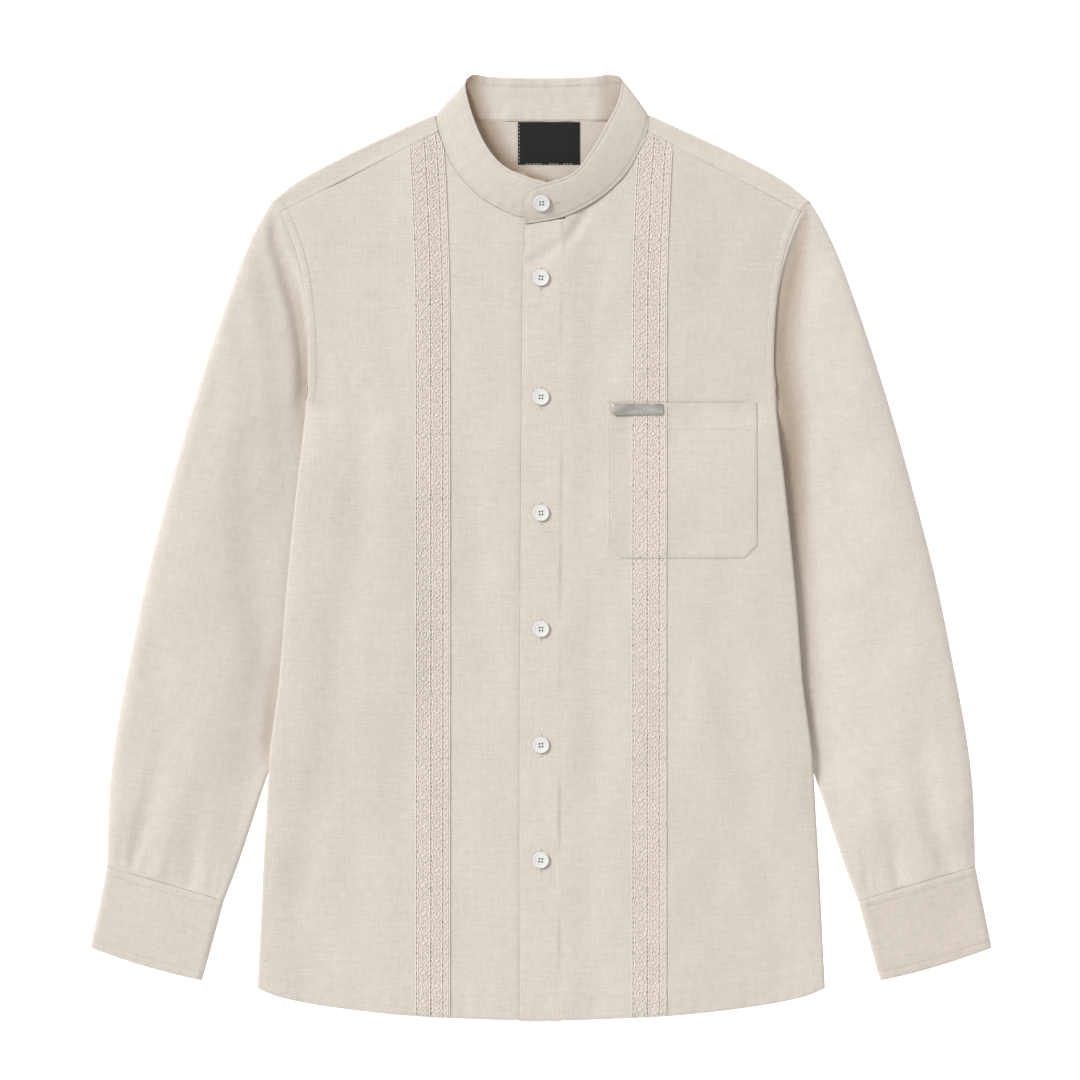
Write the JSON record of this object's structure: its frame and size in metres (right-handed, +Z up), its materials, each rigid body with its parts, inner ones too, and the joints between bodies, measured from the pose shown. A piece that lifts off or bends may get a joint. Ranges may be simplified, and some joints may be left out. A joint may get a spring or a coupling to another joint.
{
  "type": "koko shirt with a band collar, laid flat",
  "caption": "Long-sleeved shirt laid flat, with a stand-up band collar, buttoned placket, lace trims down both fronts, a chest pocket and buttoned front.",
  "frame": {"origin": "middle of the bounding box on the surface the shirt lies on", "axes": "+Y from hem to neck, +Z up out of the front, +X towards the wearer's left sleeve, which is on the right as seen from the front"},
  "size_m": [0.7668, 0.8054, 0.0173],
  "materials": {
    "cloth": "matte linen-look weave",
    "collar_cloth": "matte linen-look weave, interlined",
    "lace": "raised thread lace",
    "pearl": "pearly",
    "tab_metal": "satin",
    "label_cloth": "woven satin"
  },
  "bodies": {
    "root": {"back": "cloth", "yoke": "cloth", "front_right": "cloth", "front_left": "cloth", "placket": "cloth", "collar_band": "collar_cloth", "sleeve_right": "cloth", "sleeve_left": "cloth", "cuff_right": "cloth", "cuff_left": "cloth", "trim_right": "lace", "trim_left": "lace", "pocket": "cloth", "pocket_trim": "lace", "pocket_tab": "tab_metal", "neck_label": "label_cloth", "button_1": "pearl", "button_2": "pearl", "button_3": "pearl", "button_4": "pearl", "button_5": "pearl", "button_6": "pearl", "button_7": "pearl"}
  },
  "joints": []
}
